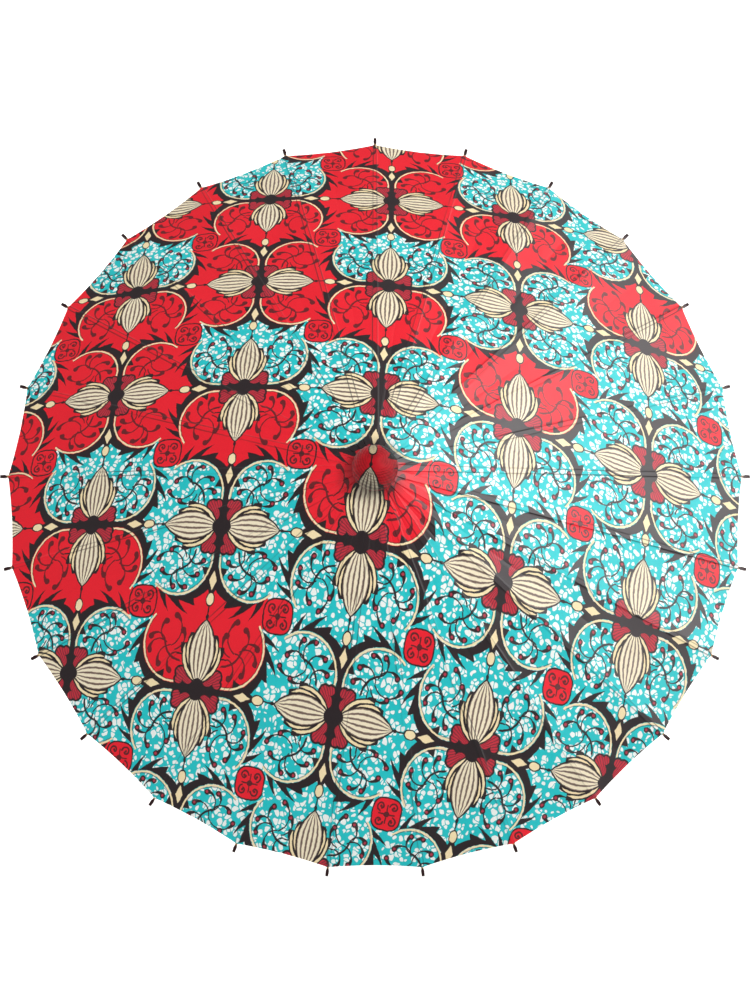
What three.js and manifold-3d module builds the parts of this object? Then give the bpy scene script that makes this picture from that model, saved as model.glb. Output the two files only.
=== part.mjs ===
// Oil paper parasol, open: twenty-five bamboo ribs hinged in a slotted hub,
// twenty-five stretchers hinged in a slotted runner that slides on the pole,
// a paper canopy glued on the ribs, a rounded fabric-covered cap, a spring
// catch that holds the runner up, and a turned handle.
// Millimetres, +Z up the pole, origin at the centre of the handle's flat end.
import * as THREE from "three";
import { mergeVertices } from "three/addons/utils/BufferGeometryUtils.js";
import Module from "manifold-3d";

// ---- driving dimensions -------------------------------------------------
const RIBS = 25;                        // ribs, equally spaced
const SECTOR = (2 * Math.PI) / RIBS;
const FIRST_RIB = Math.PI / 2;          // rib_01 points along +Y
const OPEN = (25 * Math.PI) / 180;      // slope of the hinge line when open

const HINGE_R = 18.5;                   // pivot circle radius, hub and runner alike
const HUB_Z = 528;                      // height of the hub's pivot circle
const ARM = 188;                        // hub pivot to rib joint, and stretcher length
const RUNNER_Z = HUB_Z - 2 * ARM * Math.sin(OPEN);

const RIB_LENGTH = 438;                 // hub pivot to the end of the knob
const RIB_TOP = 5.0;                    // top face above the hinge line
const RIB_WIDE = 4.4;                   // widest, at the stretcher joint
const RIB_NARROW = 3.0;                 // at the outer end
const TONGUE = 1.6;                     // thickness of the ends that sit in slots
const SLOT = 2.3;                       // width of the hub and runner slots
const FORK = 2.1;                       // width of the rib's slot for its stretcher
const STRETCHER_END = 1.3;              // thickness of the stretcher's outer end
const EYE = 1.05;                       // hole for the wire ring
const WIRE = 0.5;                       // wire radius
const PIN = 0.6;                        // joint pin radius, one with the stretcher
const PIN_HOLE = 1.15;                  // hole for it in the rib's cheeks

const POLE_R = 6.0;
const BORE_R = 6.8;                     // sliding bore of the runner
const GLUE_R = 6.4;                     // bores glued on the pole
const HUB_R = 22.0;
const HUB_NECK_R = 13.0;

const CANOPY_END = 427;                 // along the rib, where the paper stops
const CANOPY_THICK = 0.8;
const CANOPY_GAP = 0.45;                // glue line between rib and paper
const CANOPY_HOLE = 22.8;

const CAP_R = 24.3;
const CAP_BASE = HUB_Z + 6.4;
const CAP_TOP = HUB_Z + 31;

const HANDLE_TOP = 106;

const wasm = await Module();
wasm.setup();

// ---- helpers --------------------------------------------------------------
// A closed three.js geometry as a solid, turned to face outwards.
function solid(geometry) {
  const g = geometry.index ? geometry.toNonIndexed() : geometry.clone();
  g.deleteAttribute("normal");
  g.deleteAttribute("uv");
  const merged = mergeVertices(g, 1e-4);
  const triVerts = new Uint32Array(merged.index.array);
  const p = merged.attributes.position.array;
  let volume = 0;
  for (let i = 0; i < triVerts.length; i += 3) {
    const [a, b, c] = [triVerts[i] * 3, triVerts[i + 1] * 3, triVerts[i + 2] * 3];
    volume +=
      p[a] * (p[b + 1] * p[c + 2] - p[b + 2] * p[c + 1]) +
      p[a + 1] * (p[b + 2] * p[c] - p[b] * p[c + 2]) +
      p[a + 2] * (p[b] * p[c + 1] - p[b + 1] * p[c]);
  }
  if (volume < 0)
    for (let i = 0; i < triVerts.length; i += 3)
      [triVerts[i + 1], triVerts[i + 2]] = [triVerts[i + 2], triVerts[i + 1]];
  return new wasm.Manifold(new wasm.Mesh({ numProp: 3, vertProperties: p, triVerts }));
}

// A solid back as a three.js geometry.
function geometryOf(manifold) {
  const m = manifold.getMesh();
  const v = new Float32Array(m.numVert * 3);
  for (let i = 0; i < m.numVert; i++)
    v.set(m.vertProperties.subarray(i * m.numProp, i * m.numProp + 3), i * 3);
  const g = new THREE.BufferGeometry();
  g.setAttribute("position", new THREE.BufferAttribute(v, 3));
  g.setIndex(new THREE.BufferAttribute(new Uint32Array(m.triVerts), 1));
  const flat = g.toNonIndexed();
  flat.computeVertexNormals();
  return flat;
}

// Outline in the x-z plane, extruded across y by width, centred on y = 0.
function sideways(outline, width) {
  const shape = new THREE.Shape(outline.map(([x, z]) => new THREE.Vector2(x, z)));
  const g = new THREE.ExtrudeGeometry(shape, { depth: width, bevelEnabled: false });
  g.translate(0, 0, -width / 2);
  g.rotateX(Math.PI / 2);
  return solid(g);
}

// Outline in the x-y plane, extruded up z from low to high.
function upright(outline, low, high) {
  const shape = new THREE.Shape(outline.map(([x, y]) => new THREE.Vector2(x, y)));
  const g = new THREE.ExtrudeGeometry(shape, { depth: high - low, bevelEnabled: false });
  g.translate(0, 0, low);
  return solid(g);
}

// Round rod across y at (x, z), with flat facets.
function crossRod(x, z, radius, width, sides) {
  const g = new THREE.CylinderGeometry(radius, radius, width, sides);
  g.translate(x, 0, z);
  return solid(g);
}

// Body of revolution about z. Profile points are [radius, height]. The corners
// of its facets stand at the rib azimuths, or between them with between = true.
function turned(profile, between = false) {
  const points = profile.map(([r, z]) => new THREE.Vector2(r, z));
  if (profile.some(([r]) => r > 0) && profile.every(([r]) => r > 0)) points.push(points[0].clone());
  const g = new THREE.LatheGeometry(points, RIBS, Math.PI + (between ? SECTOR / 2 : 0));
  g.rotateX(Math.PI / 2);
  return solid(g);
}

function turnZ(manifold, angle) {
  return manifold.rotate([0, 0, (angle * 180) / Math.PI]);
}

const material = (color, roughness, metalness = 0) =>
  new THREE.MeshStandardMaterial({ color, roughness, metalness });

const umbrella = new THREE.Group();
umbrella.name = "oil_paper_parasol";

function add(name, geometry, mat, parent = umbrella) {
  const mesh = new THREE.Mesh(geometry, mat);
  mesh.name = name;
  parent.add(mesh);
  return mesh;
}

// ---- rib --------------------------------------------------------------------
// Local frame: x from the hub pivot outwards along the hinge line, z up from
// it. Both pivots lie on z = 0 and the stick stands above that line outside
// the stretcher joint, so the folded stretcher lies under it.
function ribSolid() {
  const L = RIB_LENGTH;
  let s = sideways(
    [
      [-2.2, -2.0], [8, -2.0], [12, -1.0], [ARM - 12, -1.0],
      [ARM - 8, -2.3], [ARM + 3.2, -2.3], [ARM + 6.5, 1.5],
      [L - 8, 2.6], [L - 6, 2.1], [L, 2.5],
      [L, 5.1], [L - 6, 5.5], [L - 8, RIB_TOP],
      [16, RIB_TOP], [9, 2.4], [-2.2, 2.4],
    ],
    10,
  );
  const half = (w) => w / 2;
  const plan = [
    [-4, half(TONGUE)], [9, half(TONGUE)], [10.5, 1.35], [70, half(RIB_WIDE)],
    [ARM + 14, half(RIB_WIDE)], [L - 8, 1.2], [L - 6, 1.8], [L + 2, 1.5],
  ];
  s = s.intersect(
    upright([...plan.map(([x, y]) => [x, -y]), ...plan.map(([x, y]) => [x, y]).reverse()], -8, 12),
  );
  s = s.subtract(upright(
    [[ARM - 6, -FORK / 2], [ARM + 9.5, -FORK / 2], [ARM + 9.5, FORK / 2], [ARM - 6, FORK / 2]],
    -6, 3.3,
  ));
  s = s.subtract(crossRod(0, 0, EYE, 8, 6));
  s = s.subtract(crossRod(ARM, 0, PIN_HOLE, 8, 6));
  return s;
}

// ---- stretcher ----------------------------------------------------------------
// Local frame: x from the runner pivot to the rib joint, z up. The pin at the
// outer end is one with the stretcher.
function stretcherSolid() {
  const A = ARM;
  let s = sideways(
    [
      [-2.2, -1.7], [10, -1.7], [A, -1.6],
      [A + 2.0, -1.0], [A + 2.0, 1.0], [A, 1.6], [10, 1.7], [-2.2, 1.7],
    ],
    8,
  );
  const plan = [
    [-4, TONGUE / 2], [8.6, TONGUE / 2], [9.6, 1.55], [A - 9.4, 1.7], [A - 8.4, STRETCHER_END / 2],
    [A + 4, STRETCHER_END / 2],
  ];
  s = s.intersect(
    upright([...plan.map(([x, y]) => [x, -y]), ...plan.map(([x, y]) => [x, y]).reverse()], -8, 8),
  );
  s = s.subtract(crossRod(0, 0, EYE, 8, 6));
  s = s.add(crossRod(A, 0, PIN, 4.1, 6));
  return s;
}

const ribGeometry = geometryOf(ribSolid());
ribGeometry.rotateY(OPEN);
ribGeometry.translate(HINGE_R, 0, HUB_Z);
const stretcherGeometry = geometryOf(stretcherSolid());
stretcherGeometry.rotateY(-OPEN);
stretcherGeometry.translate(HINGE_R, 0, RUNNER_Z);

const two = (n) => String(n).padStart(2, "0");
for (let i = 0; i < RIBS; i++) {
  const spoke = new THREE.Group();
  spoke.rotation.z = FIRST_RIB + i * SECTOR;
  umbrella.add(spoke);
  add("rib_" + two(i + 1), ribGeometry.clone(), material(0xb98c58, 0.6), spoke);
  add("stretcher_" + two(i + 1), stretcherGeometry.clone(), material(0xc39a66, 0.6), spoke);
}

// ---- slotted heads ----------------------------------------------------------
// One radial slot per rib, open outwards, from low to high.
function slots(low, high) {
  let all = null;
  for (let i = 0; i < RIBS; i++) {
    const cut = turnZ(
      upright([[14.4, -SLOT / 2], [40, -SLOT / 2], [40, SLOT / 2], [14.4, SLOT / 2]], low, high),
      FIRST_RIB + i * SECTOR,
    );
    all = all ? all.add(cut) : cut;
  }
  return all;
}

// Hub: slots open downwards, and a groove for the wire ring round the pivots.
const hub = turned(
  [
    [GLUE_R, HUB_Z + 6.0], [HUB_R - 1, HUB_Z + 6.0], [HUB_R, HUB_Z + 5.0],
    [HUB_R, HUB_Z + 1.2], [17.3, HUB_Z + 1.2], [17.3, HUB_Z - 1.2],
    [HUB_R, HUB_Z - 1.2], [HUB_R, HUB_Z - 5.0], [HUB_R - 1, HUB_Z - 6.0],
    [HUB_NECK_R, HUB_Z - 6.0], [HUB_NECK_R, HUB_Z - 20], [HUB_NECK_R - 2, HUB_Z - 22],
    [GLUE_R, HUB_Z - 22],
  ],
  true,
).subtract(slots(HUB_Z - 9, HUB_Z + 3.9));
add("upper_hub", geometryOf(hub), material(0xd9c08f, 0.55));

// Runner: slots open upwards, a neck to hold, and a bead at its foot.
const R0 = RUNNER_Z;
const runner = turned(
  [
    [BORE_R, R0 + 6.0], [HUB_R - 1, R0 + 6.0], [HUB_R, R0 + 5.0],
    [HUB_R, R0 + 1.2], [17.3, R0 + 1.2], [17.3, R0 - 1.2],
    [HUB_R, R0 - 1.2], [HUB_R, R0 - 6.5], [HUB_R - 2, R0 - 8.0],
    [HUB_NECK_R, R0 - 10], [11.6, R0 - 20], [11.6, R0 - 32], [14.2, R0 - 36],
    [14.2, R0 - 41], [13.2, R0 - 42], [BORE_R, R0 - 42],
  ],
  true,
).subtract(slots(R0 - 3.9, R0 + 9));
add("runner", geometryOf(runner), material(0xd9c08f, 0.55));

// Wire rings: straight between the slots, so each rib turns on a straight pin.
function wireRing(z) {
  const reach = HINGE_R / Math.cos(SECTOR / 2);
  const ring = [];
  for (let k = 0; k < 6; k++) {
    const a = (k * Math.PI) / 3;
    ring.push([reach + WIRE * Math.cos(a), z + WIRE * Math.sin(a)]);
  }
  return turned(ring, true);
}
add("hub_wire", geometryOf(wireRing(HUB_Z)), material(0x9a9a98, 0.35, 0.9));
add("runner_wire", geometryOf(wireRing(RUNNER_Z)), material(0x9a9a98, 0.35, 0.9));

// ---- pole, with the slot for the catch --------------------------------------
const CATCH_FOOT = R0 - 73;             // lower end of the catch
const CATCH_TOP = R0 - 42.5;            // its shoulder, just under the runner
let pole = turned([[0, 10], [POLE_R - 0.6, 10], [POLE_R, 10.6], [POLE_R, HUB_Z + 5.2], [POLE_R - 0.8, HUB_Z + 6.0], [0, HUB_Z + 6.0]], true);
pole = pole.subtract(upright([[-1.7, -9], [1.7, -9], [1.7, 1.6], [-1.7, 1.6]], CATCH_FOOT - 1.2, CATCH_TOP + 1.2));
add("pole", geometryOf(pole), material(0xcaa571, 0.5));

// ---- spring catch: a bent metal strip on the -Y side -------------------------
const catchOutline = [
  [3.2, CATCH_FOOT], [4.4, CATCH_FOOT], [4.4, CATCH_FOOT + 7], [10.0, CATCH_TOP - 3.6],
  [10.0, CATCH_TOP], [4.0, CATCH_TOP], [4.0, CATCH_TOP - 1.2], [8.8, CATCH_TOP - 1.2],
  [8.8, CATCH_TOP - 3.4], [3.2, CATCH_FOOT + 7.3],
];
const catchSolid = turnZ(sideways(catchOutline, 2.4), -Math.PI / 2);
add("catch_spring", geometryOf(catchSolid), material(0xa8a294, 0.35, 0.9));

// ---- canopy: a thin twenty-five-sided cone glued on the ribs ------------------
const slope = Math.tan(OPEN);
const lift = (RIB_TOP + CANOPY_GAP) / Math.cos(OPEN);
const under = (r) => HUB_Z + lift - (r - HINGE_R) * slope;
const CANOPY_R = HINGE_R + CANOPY_END * Math.cos(OPEN) + RIB_TOP * Math.sin(OPEN);
const up = CANOPY_THICK / Math.cos(OPEN);
const canopy = turned([
  [CANOPY_HOLE, under(CANOPY_HOLE)], [CANOPY_R, under(CANOPY_R)],
  [CANOPY_R + CANOPY_THICK * Math.sin(OPEN), under(CANOPY_R) + CANOPY_THICK * Math.cos(OPEN)],
  [CANOPY_HOLE, under(CANOPY_HOLE) + up],
]);
add("canopy", geometryOf(canopy), material(0xd01c38, 0.45));

// ---- cap: a rounded knob over the hub ----------------------------------------
const cap = turned([
  [0, CAP_BASE], [CAP_R - 1.2, CAP_BASE], [CAP_R, CAP_BASE + 2.0], [CAP_R + 0.1, CAP_BASE + 6.0],
  [CAP_R - 1.0, CAP_BASE + 11], [CAP_R - 4.2, CAP_BASE + 16.0], [CAP_R - 9.5, CAP_BASE + 20.6],
  [CAP_R - 16.5, CAP_BASE + 23.6], [0, CAP_TOP - 0.0],
]);
add("top_cap", geometryOf(cap), material(0xc01228, 0.5));

// ---- handle --------------------------------------------------------------------
const handle = turned([
  [0, 0], [9, 0], [11.2, 3], [11.2, 9], [10.2, 12.5],
  [11.2, 40], [9.6, 88], [10.8, 93], [9.4, 98],
  [8.2, HANDLE_TOP], [GLUE_R, HANDLE_TOP], [GLUE_R, 9.6], [0, 9.6],
]);
add("handle", geometryOf(handle), material(0x8a5a30, 0.4));

export default umbrella;
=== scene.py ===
import math

import bmesh
import bpy
import numpy as np
from mathutils import Matrix, Vector, noise


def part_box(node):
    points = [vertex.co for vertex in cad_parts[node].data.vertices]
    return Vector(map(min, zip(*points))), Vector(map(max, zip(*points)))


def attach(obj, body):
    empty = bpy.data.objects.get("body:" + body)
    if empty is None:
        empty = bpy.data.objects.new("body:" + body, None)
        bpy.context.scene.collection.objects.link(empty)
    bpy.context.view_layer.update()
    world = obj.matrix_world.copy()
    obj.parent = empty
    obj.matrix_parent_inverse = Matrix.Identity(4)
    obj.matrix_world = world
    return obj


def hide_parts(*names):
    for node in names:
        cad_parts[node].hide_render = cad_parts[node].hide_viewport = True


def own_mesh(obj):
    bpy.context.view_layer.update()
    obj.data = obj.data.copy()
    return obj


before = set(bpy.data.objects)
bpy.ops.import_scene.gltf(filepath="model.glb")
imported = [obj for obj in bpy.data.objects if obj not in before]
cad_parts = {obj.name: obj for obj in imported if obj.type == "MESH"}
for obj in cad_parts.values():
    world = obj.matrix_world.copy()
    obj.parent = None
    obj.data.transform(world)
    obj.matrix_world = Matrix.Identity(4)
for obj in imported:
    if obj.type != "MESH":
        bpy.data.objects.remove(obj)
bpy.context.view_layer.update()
scene = bpy.context.scene

# ------------------------------------------------------------------ dimensions
MM = 0.001
RIBS = 25
SECTOR = 2 * math.pi / RIBS
OPEN = math.radians(25)
CLOSED = math.radians(87)
HINGE_R = 18.5
HUB_Z = 528.0
ARM = 188.0
RUNNER_Z = HUB_Z - 2 * ARM * math.sin(OPEN)
RIB_TOP = 5.0
CANOPY_END = 427.0
CAP_BASE = HUB_Z + 6.4
CAP_R = 24.3
T = math.tan(SECTOR / 2)


def azimuth_of(node):
    lo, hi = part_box(node)
    c = (lo + hi) / 2
    return math.atan2(c.y, c.x)


AZ = [azimuth_of("rib_%02d" % (i + 1)) for i in range(RIBS)]
TURN = 1.0 if math.sin(AZ[1] - AZ[0]) > 0 else -1.0
AZ = [AZ[0] + TURN * i * SECTOR for i in range(RIBS)]

# ------------------------------------------------------------------ camera
cam_data = bpy.data.cameras.new("camera")
cam = bpy.data.objects.new("camera", cam_data)
scene.collection.objects.link(cam)
scene.camera = cam
target = Vector((0.0, 0.0, 0.346))
elev = math.radians(80)
back = Vector((0.0, -math.cos(elev), math.sin(elev)))
cam.location = target + back * 3.0
cam.rotation_euler = (-back).to_track_quat("-Z", "Y").to_euler()
cam_data.type = "PERSP"
cam_data.sensor_width = 36.0
cam_data.lens = 97.25
cam_data.clip_start, cam_data.clip_end = 0.05, 60.0

# ------------------------------------------------------------------ light and floor
scene.view_settings.view_transform = "Standard"
scene.view_settings.look = "None"
world = bpy.data.worlds.new("studio")
scene.world = world
world.use_nodes = True
world.node_tree.nodes["Background"].inputs["Color"].default_value = (1, 1, 1, 1)
world.node_tree.nodes["Background"].inputs["Strength"].default_value = 0.25


def area_light(name, direction, distance, size, energy, aim=(0, 0, 0.42), colour=(1, 1, 1)):
    data = bpy.data.lights.new(name, "AREA")
    data.shape = "RECTANGLE"
    data.size, data.size_y = size
    data.energy = energy
    data.color = colour
    o = bpy.data.objects.new(name, data)
    scene.collection.objects.link(o)
    az, el = (math.radians(a) for a in direction)
    way = Vector((math.cos(az) * math.cos(el), math.sin(az) * math.cos(el), math.sin(el)))
    o.location = Vector(aim) + way * distance
    o.rotation_euler = (-way).to_track_quat("-Z", "Y").to_euler()
    return o


# a broad panel that the gloss of the cloth picks up, and two lamps that only light it
panel = area_light("panel_right", (20, 37), 2.4, (3.3, 1.3), 50)
panel.visible_diffuse = False
for lamp in (area_light("key_right", (30, 53), 2.6, (0.36, 0.36), 45),
             area_light("top_soft", (206, 70), 2.5, (1.2, 1.2), 29)):
    lamp.visible_glossy = False

# ------------------------------------------------------------------ node arithmetic
FOLD = {
    "ADD": lambda a, b: a + b, "SUBTRACT": lambda a, b: a - b, "MULTIPLY": lambda a, b: a * b,
    "DIVIDE": lambda a, b: a / b, "MINIMUM": min, "MAXIMUM": max,
    "LESS_THAN": lambda a, b: float(a < b), "GREATER_THAN": lambda a, b: float(a > b),
    "FLOOR": math.floor, "ABSOLUTE": abs, "SQRT": math.sqrt, "SINE": math.sin,
    "ARCTAN2": math.atan2, "FRACT": lambda a: a - math.floor(a),
    "MULTIPLY_ADD": lambda a, b, c: a * b + c, "POWER": lambda a, b: a ** b,
}


class E:
    """A number in a node tree, with ordinary arithmetic."""

    def __init__(self, net, socket):
        self.net, self.socket = net, socket

    def __add__(self, o): return self.net.op("ADD", self, o)
    def __radd__(self, o): return self.net.op("ADD", self, o)
    def __sub__(self, o): return self.net.op("SUBTRACT", self, o)
    def __rsub__(self, o): return self.net.op("SUBTRACT", o, self)
    def __mul__(self, o): return self.net.op("MULTIPLY", self, o)
    def __rmul__(self, o): return self.net.op("MULTIPLY", self, o)
    def __truediv__(self, o): return self.net.op("DIVIDE", self, o)
    def __rtruediv__(self, o): return self.net.op("DIVIDE", o, self)


class Net:
    """Writes arithmetic as Math nodes in one tree, each different value once."""

    def __init__(self, tree):
        self.tree, self.memo = tree, {}

    def new(self, kind, **props):
        n = self.tree.nodes.new(kind)
        for k, v in props.items():
            setattr(n, k, v)
        return n

    def feed(self, socket, v):
        if isinstance(v, E):
            self.tree.links.new(v.socket, socket)
        elif isinstance(v, bpy.types.NodeSocket):
            self.tree.links.new(v, socket)
        elif socket.type == "VECTOR":
            socket.default_value = tuple(v)[:3]
        else:
            socket.default_value = v

    def key(self, v):
        return (v.socket.node.name, v.socket.identifier) if isinstance(v, E) else float(v)

    def op(self, kind, *a):
        if not any(isinstance(v, E) for v in a):
            return FOLD[kind](*a)
        if kind == "MULTIPLY":
            for v, w in ((a[0], a[1]), (a[1], a[0])):
                if not isinstance(v, E) and v == 0:
                    return 0.0
                if not isinstance(v, E) and v == 1:
                    return w
        if kind in ("ADD", "SUBTRACT") and not isinstance(a[1], E) and a[1] == 0:
            return a[0]
        if kind == "ADD" and not isinstance(a[0], E) and a[0] == 0:
            return a[1]
        k = (kind,) + tuple(self.key(v) for v in a)
        if k not in self.memo:
            n = self.new("ShaderNodeMath", operation=kind)
            for i, v in enumerate(a):
                self.feed(n.inputs[i], v)
            self.memo[k] = E(self, n.outputs[0])
        return self.memo[k]

    def floor(self, a): return self.op("FLOOR", a)
    def abs(self, a): return self.op("ABSOLUTE", a)
    def sqrt(self, a): return self.op("SQRT", a)
    def sin(self, a): return self.op("SINE", a)
    def fract(self, a): return self.op("FRACT", a)
    def atan2(self, a, b): return self.op("ARCTAN2", a, b)
    def min(self, a, b): return self.op("MINIMUM", a, b)
    def max(self, a, b): return self.op("MAXIMUM", a, b)
    def lt(self, a, b): return self.op("LESS_THAN", a, b)
    def gt(self, a, b): return self.op("GREATER_THAN", a, b)
    def power(self, a, b): return self.op("POWER", a, b)

    def mix(self, a, b, f):
        if not isinstance(a, E) and not isinstance(b, E) and a == b:
            return a
        return self.op("MULTIPLY_ADD", self.op("SUBTRACT", b, a), f, a)

    def clamp(self, a):
        return self.max(0.0, self.min(1.0, a))

    def ramp(self, a, lo, hi):
        """0 below lo, 1 above hi, straight between."""
        return self.clamp((a - lo) * (1.0 / (hi - lo)))

    def vec(self, x, y, z=0.0):
        k = ("vec",) + tuple(self.key(v) for v in (x, y, z))
        if k not in self.memo:
            n = self.new("ShaderNodeCombineXYZ")
            for i, v in enumerate((x, y, z)):
                self.feed(n.inputs[i], v)
            self.memo[k] = n.outputs[0]
        return self.memo[k]

    def length(self, x, y):
        k = ("length", self.key(x), self.key(y))
        if k not in self.memo:
            n = self.new("ShaderNodeVectorMath", operation="LENGTH")
            self.feed(n.inputs[0], self.vec(x, y))
            self.memo[k] = E(self, n.outputs["Value"])
        return self.memo[k]

    def xyz(self, vector):
        n = self.new("ShaderNodeSeparateXYZ")
        self.feed(n.inputs[0], vector)
        return [E(self, o) for o in n.outputs]

    def noise(self, vector, scale, detail=2.0, rough=0.5, distortion=0.0, dims="3D"):
        n = self.new("ShaderNodeTexNoise", noise_dimensions=dims)
        self.feed(n.inputs["Vector"], vector)
        self.feed(n.inputs["Scale"], scale)
        self.feed(n.inputs["Detail"], detail)
        self.feed(n.inputs["Roughness"], rough)
        self.feed(n.inputs["Distortion"], distortion)
        return n

    def value_noise(self, vector, scale, detail=2.0, rough=0.5, distortion=0.0, dims="3D"):
        return E(self, self.noise(vector, scale, detail, rough, distortion, dims).outputs["Fac"])

    def blend(self, a, b, f):
        """Colour a to colour b by f."""
        n = self.new("ShaderNodeMix", data_type="RGBA")
        self.feed(n.inputs[0], f)
        self.feed(n.inputs[6], a)
        self.feed(n.inputs[7], b)
        return n.outputs[2]

    def gain(self, colour, f):
        """A colour times a number."""
        n = self.new("ShaderNodeVectorMath", operation="SCALE")
        self.feed(n.inputs[0], colour)
        self.feed(n.inputs["Scale"], f)
        return n.outputs[0]


def srgb(r, g, b, gain=1.0):
    def lin(c):
        c /= 255
        return c / 12.92 if c <= 0.04045 else ((c + 0.055) / 1.055) ** 2.4
    return (lin(r) * gain, lin(g) * gain, lin(b) * gain, 1.0)


# ------------------------------------------------------------------ printed pattern
# Lattice place (column, row) of a point of the open canopy, from its plan place in metres.
LATTICE = [
    (2.0273, 2.5558), (-0.3232, -2.4047), (0.1497, -0.4943), (0.0028, -0.3566),
    (2.6117, -0.4438), (0.2145, 0.1477), (0.1953, 0.0654),
    (-0.0217, -0.2094), (0.0181, -0.2827), (0.0983, 0.0292),
]


def lattice(x, y):
    x, y = np.asarray(x) / 0.4, np.asarray(y) / 0.4
    terms = [x**i * y**j for i in range(4) for j in range(4 - i)]
    return (sum(c[0] * t for c, t in zip(LATTICE, terms)),
            sum(c[1] * t for c, t in zip(LATTICE, terms)))


def artwork(B, U, V):
    """Where each ink of the print lies: paired striped buds, domed frames with barbed edges,
    curling vines, bead chains and scroll squares, on a lattice with a bud pair at each node."""
    cu = B.floor(U + 0.5); cv = B.floor(V + 0.5)
    du = U - cu; dv = V - cv
    s = cu + cv
    upright = B.gt(B.fract(s * 0.5), 0.25)
    adu = B.abs(du); adv = B.abs(dv)
    x = B.mix(adv, adu, upright); y = B.mix(adu, adv, upright)
    below = B.gt(dv, 0.0); right = B.gt(du, 0.0)

    def red_v(s_, low):
        a = B.lt(s_, 4.0) * low
        b = B.gt(s_, 4.0) * B.lt(s_, 6.0) * (1.0 - low)
        return B.max(a, b)

    def red_h(s_):
        return B.lt(s_, 3.0)

    own = B.mix(red_h(s), red_v(s, below), upright)
    nb = B.mix(red_v(s + (below * 2.0 - 1.0), 1.0 - below), red_h(s + (right * 2.0 - 1.0)), upright)

    # frame round the dome
    I = B.length(x - 0.20, y - 0.27) - 0.25

    def outer(px, py):
        ox = px - 0.215; oy = py - 0.215
        r = B.length(ox, oy)
        a = B.atan2(oy, ox)
        O = r - 0.260
        saw = B.fract(a * 2.35 + O * 7.0 + 0.84)
        fade = B.gt(a, -0.36) * B.lt(a, 0.84)
        barb = B.lt(O, (1.0 - saw) * (1.0 - saw) * 0.088 * fade) * B.gt(a, -1.2) * B.lt(a, 0.95)
        return O, barb

    O, barb = outer(x, y)
    O2, barb2 = outer(1.0 - y, x)
    in_nb = B.gt(O, 0.0) * B.gt(x, 0.30) * B.gt(x - y, -0.005)
    red = B.mix(own, nb, in_nb)
    band = B.lt(O, 0.0) * B.gt(I, 0.0) * B.lt(y, 0.41)
    barbs = B.max(barb * B.gt(I, 0.0) * B.gt(x, 0.30) * B.lt(y, 0.42), barb2)
    dark = B.max(band, barbs)
    edge = B.gt(x - y, -0.046) * B.gt(x, 0.05)
    cream = B.lt(B.abs(I + 0.009), 0.0062) * edge
    thin = B.lt(B.abs(I + 0.0185), 0.0036) * edge
    # the frames of two neighbours run together round the bead chain
    tip = B.lt(y + x * 0.50, 0.226) * B.gt(x, 0.26)
    root = B.lt(B.length(x * 0.42, y * 1.45), 0.050)
    dark = B.max(dark, B.max(tip, root))

    # vines in the dome: a stem with curved twigs on both sides, each ending in a dot
    twigs = [  # root, end, how far it bows to the left of the way there, dotted
        ((0.155, 0.160), (0.285, 0.268), -0.030, False),
        ((0.285, 0.268), (0.392, 0.300), 0.030, True),
        ((0.205, 0.222), (0.152, 0.340), 0.034, True),
        ((0.232, 0.245), (0.214, 0.430), 0.050, True),
        ((0.270, 0.262), (0.304, 0.388), -0.036, True),
        ((0.285, 0.268), (0.398, 0.212), 0.034, True),
        ((0.240, 0.245), (0.318, 0.128), 0.036, True),
        ((0.190, 0.205), (0.232, 0.096), 0.032, True),
    ]
    vine = 0.0; tips = 0.0
    for (ax0, ay0), (bx0, by0), bow, dotted in twigs:
        lx, ly = bx0 - ax0, by0 - ay0
        long = math.hypot(lx, ly)
        sag = abs(bow)
        r = (long * long / 4 + sag * sag) / (2 * sag)
        nx, ny = -ly / long * (1 if bow > 0 else -1), lx / long * (1 if bow > 0 else -1)
        mx, my = (ax0 + bx0) / 2, (ay0 + by0) / 2
        side = (x - mx) * nx + (y - my) * ny
        if dotted:
            # the dot hangs on the hollow side of the twig's end
            ex0, ey0 = bx0 - nx * 0.010, by0 - ny * 0.010
            d = B.length(x - ex0, y - ey0)
            w = 0.0044 + 0.0120 * B.max(0.0, 1.0 - d * 16.0)
            vine = B.max(vine, B.lt(d, 0.0200))
            tips = B.max(tips, B.lt(d, 0.0095))
        else:
            w = 0.0070
        ring = B.abs(B.length(x - (mx - nx * (r - sag)), y - (my - ny * (r - sag))) - r)
        vine = B.max(vine, B.lt(ring, w) * B.gt(side, -0.002))
    inside = B.lt(I, -0.030)
    vine = vine * inside
    tips = tips * inside

    # scroll square at the cell's middle
    qx = 0.5 - x; qy = 0.5 - y
    ex = qx * 10.2; ey = qy * 10.2
    sq = ex * ex * ex + ey * ey * ey
    sq_in = B.lt(sq, 1.0); sq_out = B.lt(sq, 1.32)
    rg = B.length(qx - 0.046, qy - 0.046)
    rr = B.atan2(qy - 0.046, qx - 0.046)
    scroll = B.lt(B.abs(rg - 0.0215 - rr * 0.0032), 0.0058)
    scroll = B.max(scroll, B.lt(rg, 0.0085))
    scroll = B.max(scroll, B.lt(B.abs(B.length(qx, qy) - 0.013), 0.0062))
    scroll = B.max(scroll, B.lt(B.min(qx, qy), 0.0045) * B.lt(B.max(qx, qy), 0.060))

    # calyx
    k1 = B.length(x - 0.142, y - 0.046) - 0.034
    k2 = B.length(x - 0.134, y - 0.090) - 0.040
    k3 = B.length(x - 0.075, y - 0.070) - 0.050
    kd = B.min(B.min(k1, k2), k3)
    cal_out = B.lt(kd, 0.006); cal_in = B.lt(kd, -0.007)
    hatch = B.lt(B.fract(B.atan2(y, x) * 9.0), 0.34)

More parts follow.
